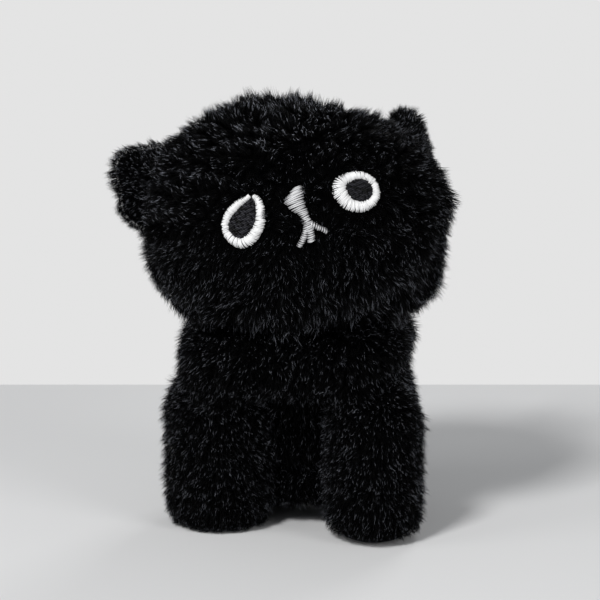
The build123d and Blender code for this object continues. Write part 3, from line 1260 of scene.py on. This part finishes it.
FACE_MOTIFS: tuple[Motif, ...] = (
    Band(
        "eye_ring_left",
        "eye_ring_left",
        Finish.WHITE,
        (
            (-9.7, 4.1, 0.9),
            (-12.7, 3.0, 1.5),
            (-15.3, 1.2, 1.5),
            (-16.4, -1.4, 1.4),
            (-15.6, -3.8, 1.8),
            (-13.7, -5.0, 2.1),
            (-11.4, -4.4, 2.2),
            (-9.5, -2.6, 2.2),
            (-8.4, -0.4, 1.9),
            (-8.1, 2.3, 1.6),
            (-8.7, 3.9, 1.0),
        ),
        tilt=10.0,
    ),
    Band(
        "eye_ring_right",
        "eye_ring_right",
        Finish.WHITE,
        (
            (9.3, 2.1, 2.5),
            (8.9, -0.1, 2.9),
            (10.2, -2.6, 2.5),
            (12.3, -3.8, 2.2),
            (14.7, -3.6, 1.9),
            (16.2, -2.1, 1.6),
            (16.2, 0.2, 1.4),
            (14.7, 2.1, 1.4),
            (12.3, 2.8, 1.7),
        ),
        closed=True,
        tilt=10.0,
    ),
    Teardrop("eye_pupil_left", "eye_pupil_left", Finish.BLACK, (-12.5, -1.4), 3.35, (-8.9, 4.2)),
    Teardrop("eye_pupil_right", "eye_pupil_right", Finish.BLACK, (13.2, -0.5), 2.7, (10.1, 2.2)),
    Band(
        "nose_stitching",
        "nose_and_mouth",
        Finish.SILVER,
        (
            (0.4, 3.4, 1.5),
            (-0.1, 2.6, 3.0),
            (-0.7, 1.6, 3.8),
            (-0.7, 0.5, 3.8),
            (-0.3, -0.6, 3.0),
            (0.2, -1.8, 2.1),
            (0.6, -3.1, 1.8),
            (0.7, -4.5, 2.3),
            (0.5, -5.7, 2.5),
        ),
        slant=8.0,
        pitch=0.40,
    ),
    *(
        Band(f"mouth_{place}", "nose_and_mouth", Finish.SILVER, line, tilt=12.0, pitch=0.42)
        for place, line in (
            ("left", ((0.0, -5.7, 1.3), (-1.0, -7.1, 1.3), (-2.1, -8.4, 1.2))),
            ("middle", ((0.8, -5.8, 1.7), (0.7, -7.0, 1.6), (0.6, -8.0, 1.5))),
            ("right", ((1.5, -4.7, 1.3), (2.9, -5.8, 1.2), (4.1, -6.8, 1.1))),
        )
    ),
)


def turned_axes(turn: float, lift: float, roll: float) -> Matrix:
    """Axes turned about the upright, then lifted, then rolled, in degrees.

    Args:
        turn: About Z.
        lift: Upwards, about the turned X.
        roll: The right side up, about the lifted Y.

    Returns:
        A rotation.
    """
    about_z = Matrix.Rotation(math.radians(turn), 3, "Z")
    about_x = Matrix.Rotation(math.radians(-lift), 3, "X")
    about_y = Matrix.Rotation(math.radians(-roll), 3, "Y")
    return about_z @ about_x @ about_y


@dataclass
class Face:
    """The face's own plane, x to the viewer's right and z up, and what is sewn on it."""

    centre: Vector
    turn: float = 12.0
    lift: float = 5.0
    roll: float = 14.5
    eye_height: float = 3.5 * MM
    thread_lift: float = 0.25 * MM
    thread: float = 0.40 * MM
    arch: float = 0.5 * MM
    clear_front: float = 60 * MM  # a place well in front of the face
    turned: Matrix = field(init=False)

    def __post_init__(self) -> None:
        """Works out the turned axes."""
        self.turned = turned_axes(self.turn, self.lift, self.roll)

    def local(self, points: Array) -> Array:
        """Positions in the face's own axes, from the middle between the eyes."""
        rows = (points - np.array(self.centre)) @ np.array(self.turned)
        rows[:, 2] -= self.eye_height
        return rows

    def embroider(self, skin: Skin, sewing: Sewing) -> None:
        """Sews every motif.

        Args:
            skin: The head's skin.
            sewing: What lays the threads.
        """
        surface = skin.surface()
        for number, motif in enumerate(FACE_MOTIFS):
            stitches = motif.stitches(np.random.default_rng(FACE_SEED + number))
            made = sewing.sew(
                self.guide(stitches, surface, self.thread_lift * motif.lift_share),
                motif.name + "_thread",
                motif.finish,
                self.thread * motif.thread_share,
                self.arch * motif.arch_share,
            )
            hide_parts(motif.node)
            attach(made, "head")

    def guide(self, stitches: list[tuple[Array, Array]], surface: BVHTree, lift: float) -> Guide:
        """Stitches laid on the cloth.

        Args:
            stitches: Both ends of each in the face's plane.
            surface: The head's skin.
            lift: How far over the skin they lie.

        Returns:
            A guide with those stitches whose two ends both meet the skin.
        """
        towards = (self.turned @ Vector((0, 1, 0))).normalized()
        guide = Guide()
        for stitch in stitches:
            met = []
            for x, z in stitch:
                before = Vector((x, -self.clear_front, z + self.eye_height))
                met.append(meet(surface, self.centre + self.turned @ before, towards))
            if None in met:
                continue
            (first, first_normal), (last, last_normal) = met
            first, last = first + first_normal * lift, last + last_normal * lift
            guide.add((first + last) / 2, last - first, (first_normal + last_normal).normalized())
        return guide


# ------------------------------------------------------------------ head and body


@dataclass
class Head(Part):
    """The stuffed head with its pile and its embroidered face."""

    sewing: Sewing
    half_size: Triple = (33.0 * MM, 27.0 * MM, 25.5 * MM)
    form_roll: float = 5.0
    from_neck: Triple = (0.9 * MM, -2.8 * MM, 28.0 * MM)
    inset: float = 0.1 * MM
    face_seam: float = -5.0 * MM
    crown_seam: float = 15.0 * MM
    upper_edge: float = -2 * MM
    lump: float = 0.7 * MM
    lump_size: float = 17 * MM
    fineness: int = 7
    even_face: Zone = (5 * MM, 14 * MM)  # heights from the eyes at which lumps set in
    parting: Triple = (0.5 * MM, 0.0, -1.0 * MM)  # from which the pile runs outwards
    droop: float = 0.9
    droop_zone: Zone = (-6 * MM, 12 * MM)  # depths under the eyes
    cropped: Zone = (0.0, 8 * MM)  # gaps from the embroidery
    crown: Zone = (8 * MM, 20 * MM)  # heights over the eyes
    chin: Zone = (13 * MM, 21 * MM)  # depths under the eyes
    chin_front: Zone = (0.0, 8 * MM)  # from the middle towards the front
    tuft_size: float = 6 * MM
    lobes: tuple[tuple[Triple, float, float], ...] = (  # which way, reach, height
        ((-0.42, -0.1, 0.88), 0.3, 0.025),
        ((-0.27, 0.15, 0.95), 0.12, 0.1),
        ((0.05, 0.15, 0.98), 0.10, 0.06),
        ((0.3, 0.0, 0.95), 0.6, -0.158),
        ((0.95, 0.0, 0.25), 0.5, -0.065),
        ((0.9, 0.0, -0.42), 0.3, -0.115),
        ((0.98, -0.1, -0.02), 0.2, 0.035),
        ((-0.85, -0.1, 0.45), 0.3, 0.02),
        ((-0.8, 0.0, -0.6), 0.5, 0.12),
        ((0.70, 0.0, -0.71), 0.34, 0.145),
    )
    centre: Vector = field(init=False)
    face: Face = field(init=False)
    axes: Array = field(init=False)

    def __post_init__(self) -> None:
        """Places the head over the neck."""
        self.centre = joint_place("head_tilt") + Vector(self.from_neck)
        self.face = Face(self.centre)
        self.axes = np.array(turned_axes(self.face.turn, self.face.lift, self.form_roll))

    def local(self, points: Array) -> Array:
        """Positions in the stuffed form's own axes."""
        return (points - np.array(self.centre)) @ self.axes

    def form(self) -> Skin:
        """The stuffed form: a flattened ball with full cheeks and crown."""
        ball = bmesh.new()
        bmesh.ops.create_icosphere(ball, subdivisions=self.fineness, radius=1.0)
        mesh = bpy.data.meshes.new("head_backing")
        ball.to_mesh(mesh)
        ball.free()
        rows = rows_of(mesh.vertices)
        swell = np.ones(len(rows))
        for way, reach, height in self.lobes:
            gap = np.linalg.norm(rows - unit(np.array(way)), axis=-1)
            swell += height * np.exp(-((gap / reach) ** 2))
        rows = rows * swell[:, None] * (np.array(self.half_size) - self.inset)
        placed = rows @ self.axes.T + np.array(self.centre)
        outwards = unit(placed - np.array(self.centre))
        lumps = self.lump * wander(placed, self.lump_size, seed=8)[:, :1]
        calm = ramp(np.abs(self.face.local(placed)[:, 2]), *self.even_face)[:, None]
        place_vertices(mesh, placed + outwards * lumps * calm)
        return Skin("head_backing", mesh)

    def comb(self, skin: Skin, local: Array) -> None:
        """Combs the pile outwards from the face, down over the cheeks and up over the crown.

        Args:
            skin: The head's skin.
            local: Its vertices in the face's axes.
        """
        _, depth, up = local.T
        outwards = unit(local - np.array(self.parting)) @ np.array(self.face.turned).T
        flow = outwards + DOWN * (self.droop * ramp(-up, *self.droop_zone))[:, None]
        gaps = np.min([motif.gap(local[:, [0, 2]]) for motif in FACE_MOTIFS], axis=0)
        clear = ramp(np.where(depth < 0, gaps, 1.0), *self.cropped)
        top = ramp(up, *self.crown)
        chin = ramp(-up, *self.chin) * ramp(-depth, *self.chin_front)
        tufts = np.clip(wander(skin.points, self.tuft_size, seed=12)[:, 0], 0.0, 1.6)
        length = (1.9 + 1.4 * clear + 1.0 * top + chin * (0.9 + 2.3 * tufts)) * MM
        skin.comb(flow, 0.52 - 0.16 * clear - 0.06 * top, length)

    def build(self) -> None:
        """Makes the backing, the pile patches and the embroidery."""
        skin = self.form()
        local = self.face.local(skin.points)
        self.comb(skin, local)
        backing = self.backing(skin)
        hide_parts("head_fill", "face_stabiliser")
        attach(backing, "head")
        covers = [motif.cover(local[:, [0, 2]]) for motif in FACE_MOTIFS]
        open_cloth = 1.0 - np.max(covers, axis=0) * (local[:, 1] < 0)
        across, depth, up = self.local(skin.points).T
        front, rear = depth < self.face_seam, depth > self.crown_seam
        middle, upper, left = ~front & ~rear, up > self.upper_edge, across < 0
        # The share below sets per patch how many strands carry the painted highlight: fewer on the
        # crown, which faces the lamps, and more on the lower face, which faces down.
        tufted = {"clump": 2.1 * MM, "pull": 0.72, "ruffle": 0.62, "tone_and_highlight_share": 1.15}
        plain = {"clump": 1.1 * MM, "tone_and_highlight_share": 0.78}
        patches = (
            ("face_upper", front & upper, "face_panel", 9.0, tufted),
            ("face_lower", front & ~upper, "face_panel", 9.0, plain),
            ("crown", middle & upper, "crown_panel", 7.5, tufted),
            ("cheeks", middle & ~upper, "crown_panel", 7.5, plain),
            ("back_left", rear & left, "head_back_panel_left", 7.0, plain),
            ("back_right", rear & ~left, "head_back_panel_right", 7.0, plain),
        )
        rows = []
        for number, (name, where, panel, density, look) in enumerate(patches):
            pile = Pile(density, HEAD_SEED + number, **look)
            rows.append((f"head_pile_{name}", where * open_cloth, panel, pile))
        self.panels(skin, "head", rows)
        self.face.embroider(skin, self.sewing)


@dataclass
class Torso(Part):
    """The stuffed body between the legs, with pile that runs down."""

    sewing: Sewing
    head: Head
    inset: float = 0.3 * MM
    grain: float = 0.9 * MM
    pile_length: float = 3.6 * MM
    lean: float = 0.4
    head_gap: float = 0.6 * MM
    flank_in: float = 2.0 * MM
    flank_side: Zone = (10 * MM, 20 * MM)  # to the right of the neck
    flank_top: Zone = (1 * MM, 6 * MM)  # under the neck
    flank_bottom: Zone = (26 * MM, 33 * MM)
    hollow: float = 10.0 * MM
    hollow_front: Zone = (2 * MM, 12 * MM)  # in front of the neck
    hollow_top: Zone = (6 * MM, 13 * MM)  # under the neck
    hollow_side: Zone = (8 * MM, 16 * MM)  # to either side
    hollow_middle: float = -0.5 * MM
    underside: Zone = (0.5, 0.9)  # share of the normal that points down
    closing_stitches: int = 7
    closing_thread: float = 0.5 * MM
    stitch_run: Triple = (2.6 * MM, 0.5 * MM, 0)
    fullness: tuple[tuple[Triple, Triple], ...] = (  # from the neck, half size, in millimetres
        ((-0.9, 1.2, -5.5), (24.6, 21.0, 12.0)),  # shoulders
        ((0.0, 6.0, -27.0), (20.0, 13.0, 12.0)),  # belly
        ((-8.0, -16.5, -9.0), (6.5, 4.5, 4.5)),  # bib
    )

    def build(self) -> None:
        """Makes the backing, its closing seam and its pile patches."""
        nodes = ("torso_fill", "torso_panel_left", "torso_panel_right", "belly_panel")
        neck = joint_place("head_tilt")
        cushions = [
            Cushion(neck + Vector(part * MM for part in place), tuple(part * MM for part in half))
            for place, half in self.fullness
        ]
        skin = Skin.around("torso_backing", nodes, self.inset, self.grain, cushions)
        self.narrow_side(skin, np.array(neck))
        self.hollow_belly(skin, np.array(neck))
        self.tuck_under(skin)
        middle = middle_of("torso_fill")
        under = ramp(-skin.normals[:, 2], *self.underside)[:, None]
        flow = np.array([0.0, -0.25, -1.0]) * (1 - under) + skin.level_from(middle) * under
        skin.comb(flow, self.lean, self.pile_length)
        backing = self.backing(skin)
        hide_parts("torso_fill")
        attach(backing, "torso")
        self.closing_seam(skin.surface())
        left = skin.points[:, 0] < middle[0]
        belly = (skin.normals[:, 2] < -0.6) & (skin.points[:, 2] < middle[2])
        patches = (
            ("torso_pile_left", left & ~belly, "torso_panel_left"),
            ("torso_pile_right", ~left & ~belly, "torso_panel_right"),
            ("torso_pile_belly", belly, "belly_panel"),
        )
        rows = [
            # A share a little under 1 paints slightly more highlight on the body.
            (*patch, Pile(density=8.5, tone_and_highlight_share=0.95, seed=TORSO_SEED + number))
            for number, patch in enumerate(patches)
        ]
        self.panels(skin, "torso", rows)

    def narrow_side(self, skin: Skin, neck: Array) -> None:
        """Draws the right flank in between the shoulder and the leg.

        Args:
            skin: The body's skin.
            neck: The neck's middle, from which the places are measured.
        """
        across, _, up = (skin.points - neck).T
        right = ramp(across, *self.flank_side)
        waist = ramp(-up, *self.flank_top) * (1 - ramp(-up, *self.flank_bottom))
        points = skin.points.copy()
        points[:, 0] -= self.flank_in * right * waist
        skin.move(points)

    def hollow_belly(self, skin: Skin, neck: Array) -> None:
        """Sinks the front of the belly back between the front legs.

        Args:
            skin: The body's skin.
            neck: The neck's middle, from which the places are measured.
        """
        across, depth, up = (skin.points - neck).T
        front = ramp(-depth, *self.hollow_front)
        low = ramp(-up, *self.hollow_top)
        inner = 1 - ramp(np.abs(across - self.hollow_middle), *self.hollow_side)
        points = skin.points.copy()
        points[:, 1] += self.hollow * front * low * inner
        skin.move(points)

    def tuck_under(self, skin: Skin, rounds: int = 12, step: float = 0.5 * MM) -> None:
        """Presses the top of the skin down to just below the head.

        Args:
            skin: The body's skin.
            rounds: How many times it is pressed.
            step: How far it sinks each time.
        """
        sizes = np.array(self.head.half_size) + self.head_gap
        points = skin.points.copy()
        for _ in range(rounds):
            inside = np.linalg.norm(self.head.local(points) / sizes, axis=1) < 1.0
            points[inside, 2] -= step
        skin.move(points)

    def closing_seam(self, surface: BVHTree) -> None:
        """Sews the short seam under the belly through which the body was stuffed."""
        low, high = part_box("closing_stitches")
        down = Vector((0, 0, -1))
        guide = Guide()
        for place in np.linspace(low.y, high.y, self.closing_stitches):
            start = Vector(((low.x + high.x) / 2, place, -10 * MM))
            hit, _ = meet(surface, start, -down)
            guide.add(hit + down * (0.1 * MM), Vector(self.stitch_run), down)
        thread = self.closing_thread
        made = self.sewing.sew(guide, "closing_seam_thread", Finish.BLACK, thread, thread)
        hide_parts("closing_stitches")
        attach(made, "torso")


@dataclass
class Neck(Part):
    """The short neck inside the pile of the throat, and the seam around it."""

    inset: float = 0.3 * MM
    grain: float = 0.7 * MM
    pile_length: float = 6.0 * MM

    def build(self) -> None:
        """Makes the backing and its pile, and dresses the seam."""
        skin = Skin.around("neck_backing", ("neck_fill",), self.inset, self.grain)
        skin.comb(DOWN, 0.3, self.pile_length)
        side = (np.abs(skin.normals[:, 2]) < 0.6).astype(float)
        backing, patch = self.covered(skin, Pile(density=8.0, seed=85), side)
        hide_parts("neck_fill")
        for piece in (backing, patch):
            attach(piece, "neck")
        self.wardrobe.dress(frame["nodes"]["neck_seam"], Finish.SEAM)


@dataclass
class Leg(Part):
    """One stubby leg, stuffed into the body at the hip, and its sole."""

    place: str
    seed: int
    insets: tuple[float, float] = (-1.3 * MM, 0.2 * MM)  # of a left leg, of a right one
    grain: float = 0.9 * MM
    pile_length: float = 3.1 * MM
    sole_rise: float = 0.5 * MM
    sole_trim: float = 0.86
    foot: Zone = (2 * MM, 7 * MM)  # heights over the ground
    underside: Zone = (0.55, 0.95)  # share of the normal that points down
    bend_above: float = 7 * MM
    bend_below: float = 6 * MM

    def build(self) -> None:
        """Makes the backing and its pile."""
        fill, cover = f"leg_fill_{self.place}", f"leg_cover_{self.place}"
        inset = self.insets[self.place.endswith("right")]
        skin = Skin.around(f"leg_backing_{self.place}", (fill, cover), inset, self.grain)
        outwards = skin.level_from(middle_of(cover))
        lifted = skin.points.copy()
        lifted[:, 2] = np.maximum(lifted[:, 2], self.sole_rise)
        skin.move(lifted)
        low = 1 - ramp(skin.points[:, 2], *self.foot)
        sole = ramp(-skin.normals[:, 2], *self.underside)
        flow = DOWN + 0.25 * outwards
        flow = flow * (1 - sole)[:, None] + outwards * sole[:, None]
        length = self.pile_length * (1 - 0.3 * low) * (1 - 0.35 * sole)
        skin.comb(flow, 0.42 + 0.1 * low, length)
        # A low share paints more highlight and a lighter tone on the legs, which face away from the
        # top light.
        backing, patch = self.covered(skin, Pile(density=9.5, tone_and_highlight_share=0.68, seed=self.seed))
        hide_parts(fill)
        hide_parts(cover)
        for piece in (backing, patch):
            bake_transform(piece)

    def sole(self) -> None:
        """Makes a sole a little smaller than the leg, so that the pile falls over its edge."""
        node = f"sole_{self.place}"
        mesh = frame["nodes"][node].data.copy()
        points = rows_of(mesh.vertices)
        middle = (points.max(axis=0) + points.min(axis=0)) / 2
        points[:, :2] = middle[:2] + (points[:, :2] - middle[:2]) * self.sole_trim
        place_vertices(mesh, points)
        made = new_object(f"sole_disc_{self.place}", mesh)
        self.wardrobe.dress(made, Finish.BACKING)
        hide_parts(node)
        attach(made, f"leg_{self.place}")


@dataclass(kw_only=True)
class Flap(Part):
    """Something small sewn on at its root."""

    pile_length: float
    lean: float
    bend_share: float  # of the way from the root to the middle

    def sew_on(
        self, skin: Skin, pile: Pile, bodies: tuple[str, str], joint: str, nodes: Sequence[str]
    ) -> None:
        """Covers the skin with pile.

        Args:
            skin: Its skin.
            pile: How its pile is planted.
            bodies: Not used.
            joint: The joint at its root.
            nodes: The node that the backing takes the place of, then those of the pile.
        """
        root = np.array(joint_place(joint))
        skin.comb(skin.points - root, self.lean, self.pile_length)
        backing, patch = self.covered(skin, pile)
        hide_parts(nodes[0])
        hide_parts(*nodes[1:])
        for piece in (backing, patch):
            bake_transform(piece)


@dataclass(kw_only=True)
class Ear(Flap):
    """One flat squarish ear, sewn into the side of the head."""

    side: str
    seed: int
    inset: float
    settle: Triple  # how far it is moved to lie against the head
    corners: float  # how far it is drawn out to its four corners
    tip_over: float = 0.0  # degrees
    grain: float = 0.7 * MM
    pile_length: float = 2.7 * MM
    lean: float = 0.42
    bend_share: float = 0.6

    def build(self) -> None:
        """Makes the backing and its pile."""
        body, joint = f"ear_{self.side}", f"ear_{self.side}_fold"
        front, back = f"{body}_front", f"{body}_back"
        skin = Skin.around(f"ear_backing_{self.side}", (front, back), self.inset, self.grain)
        self.square_up(skin, joint)
        pile = Pile(density=18.0, clump=0.8 * MM, pull=0.5, seed=self.seed)
        self.sew_on(skin, pile, ("head", body), joint, (back, front, back))

    def square_up(self, skin: Skin, joint: str) -> None:
        """Draws the flap out towards its four corners and settles it against the head.

        Args:
            skin: The ear's skin.
            joint: The joint at its root, whose axis is the ear's upright.
        """
        middle = skin.points.mean(0)
        upright = np.array(joint_row(joint)["axis"])
        out = unit(middle - np.array(joint_place(joint)))
        out = unit(out - out @ upright * upright)
        rows = skin.points - middle
        across, along = rows @ out, rows @ upright
        push = self.corners * np.sin(2 * np.arctan2(along, across)) ** 2
        points = skin.points + push[:, None] * (across[:, None] * out + along[:, None] * upright)
        tipped = np.array(Matrix.Rotation(math.radians(self.tip_over), 3, "Y"))
        skin.move(middle + (points - middle) @ tipped.T + np.array(self.settle))


@dataclass(kw_only=True)
class Tail(Flap):
    """The short round tail."""

    inset: float = 0.3 * MM
    grain: float = 0.6 * MM
    pile_length: float = 3.6 * MM
    lean: float = 0.5
    bend_share: float = 0.8

    def build(self) -> None:
        """Makes the backing and its pile."""
        nodes = ("tail_fill", "tail_cover")
        skin = Skin.around("tail_backing", nodes, self.inset, self.grain)
        self.sew_on(skin, Pile(density=10.0, seed=81), ("torso", "tail"), "tail_wag", nodes)


# ------------------------------------------------------------------ studio


@dataclass
class Studio:
    """Floor, backdrop, lamps and camera."""

    target_offset: Triple = (0.0, -2.0 * MM, 8.0 * MM)
    distance: float = 0.47
    azimuth: float = 12.0
    elevation: float = 11.0
    lens: float = 125.3
    sensor: float = 36.0
    floor_tone: float = 0.74
    floor_half: float = 1.6
    wall_tone: float = 0.775
    table_edge: float = 0.137
    sky: tuple[float, float, float, float] = (0.93, 0.96, 1.0, 1)  # colour of the soft light
    world_light: float = 0.2
    lamps: tuple[tuple[str, Triple, float, float], ...] = (  # name, place, side, watts
        ("key", (-0.22, -0.6, 0.66), 0.18, 5.9),
        ("fill", (0.75, -0.45, 0.35), 0.4, 2.2),
        ("side", (-0.75, -0.5, 0.35), 0.4, 1.5),
        ("rear", (0.2, 0.7, 0.6), 0.3, 1.6),
    )

    def build(self) -> None:
        """Sets up the studio."""
        bpy.context.scene.view_settings.view_transform = "Standard"
        target = joint_place("head_tilt") + Vector(self.target_offset)
        self.floor(target)
        self.world()
        for name, way, size, power in self.lamps:
            lamp = bpy.data.lights.new(name, "AREA")
            lamp.shape = "SQUARE"
            lamp.size = size
            lamp.energy = power
            self.aimed(lamp, target, Vector(way))
        turn, rise = math.radians(self.azimuth), math.radians(self.elevation)
        level = math.cos(rise)
        way = Vector((level * math.sin(turn), -level * math.cos(turn), math.sin(rise)))
        camera = bpy.data.cameras.new("camera")
        camera.lens = self.lens
        camera.sensor_width = self.sensor
        bpy.context.scene.camera = self.aimed(camera, target, way, self.distance)

    def floor(self, target: Vector) -> None:
        """A pale table top that ends a little behind the object."""
        half, far = self.floor_half, self.table_edge
        corners = [(-half, -half, 0), (half, -half, 0), (half, far, 0), (-half, far, 0)]
        turn = Matrix.Rotation(math.radians(self.azimuth), 3, "Z")
        middle = Vector((target.x, target.y, 0))
        mesh = bpy.data.meshes.new("studio_floor")
        mesh.from_pydata([turn @ Vector(corner) + middle for corner in corners], [], [(0, 1, 2, 3)])
        paint = plain_material("studio_floor", 0.9, 0.5)
        colour = (*[self.floor_tone] * 3, 1)
        paint.node_tree.nodes["Principled BSDF"].inputs["Base Color"].default_value = colour
        mesh.materials.append(paint)
        new_object("studio_floor", mesh)

    def world(self) -> None:
        """A plain pale surround: one tone where it is seen, a softer one as light."""
        world = bpy.data.worlds.new("studio_world")
        world.use_nodes = True
        graph = Graph(world.node_tree)
        light = world.node_tree.nodes["Background"]
        light.inputs["Color"].default_value = self.sky
        light.inputs["Strength"].default_value = self.world_light
        colour = (*[self.wall_tone] * 3, 1)
        both = graph.out(
            "ShaderNodeMixShader",
            in_0=graph.out("ShaderNodeLightPath", "Is Camera Ray"),
            in_1=light.outputs[0],
            in_2=graph.out("ShaderNodeBackground", Color=colour, Strength=1.0),
        )
        graph.join(both, world.node_tree.nodes["World Output"].inputs["Surface"])
        bpy.context.scene.world = world

    def aimed(
        self, data: bpy.types.ID, target: Vector, way: Vector, distance: float = 1.0
    ) -> bpy.types.Object:
        """A lamp or a camera that faces the object.

        Args:
            data: The lamp or the camera.
            target: What it faces.
            way: Where it stands, from the target.
            distance: How many times that far off it stands.

        Returns:
            Its object.
        """
        made = new_object(data.name, data)
        made.location = target + way * distance
        made.rotation_euler = (-way).to_track_quat("-Z", "Y").to_euler()
        return made


def main() -> None:
    """Builds the cat and its studio, in order."""
    logging.basicConfig(level=logging.INFO, format="%(message)s")
    wardrobe = Wardrobe()
    pile_maker, sewing = PileMaker(wardrobe), Sewing(wardrobe)
    shop = (wardrobe, pile_maker)
    head = Head(*shop, sewing)
    head.build()
    Torso(*shop, sewing, head).build()
    Neck(*shop).build()
    legs = [Leg(*shop, place, LEG_SEED + number) for number, place in enumerate(LEG_PLACES)]
    for leg in legs:
        leg.build()
    Ear(
        *shop,
        side="left",
        seed=70,
        inset=0.9 * MM,
        settle=(4.0 * MM, 0.0, -1.5 * MM),
        corners=0.29,
        tip_over=-19.0,
    ).build()
    Ear(
        *shop,
        side="right",
        seed=71,
        inset=1.4 * MM,
        settle=(-4.3 * MM, 0.0, -2.9 * MM),
        corners=0.05,
    ).build()
    Tail(*shop).build()
    for leg in legs:
        leg.sole()
    pile_maker.clear()
    sewing.clear()
    Studio().build()


if __name__ == "__main__":
    main()
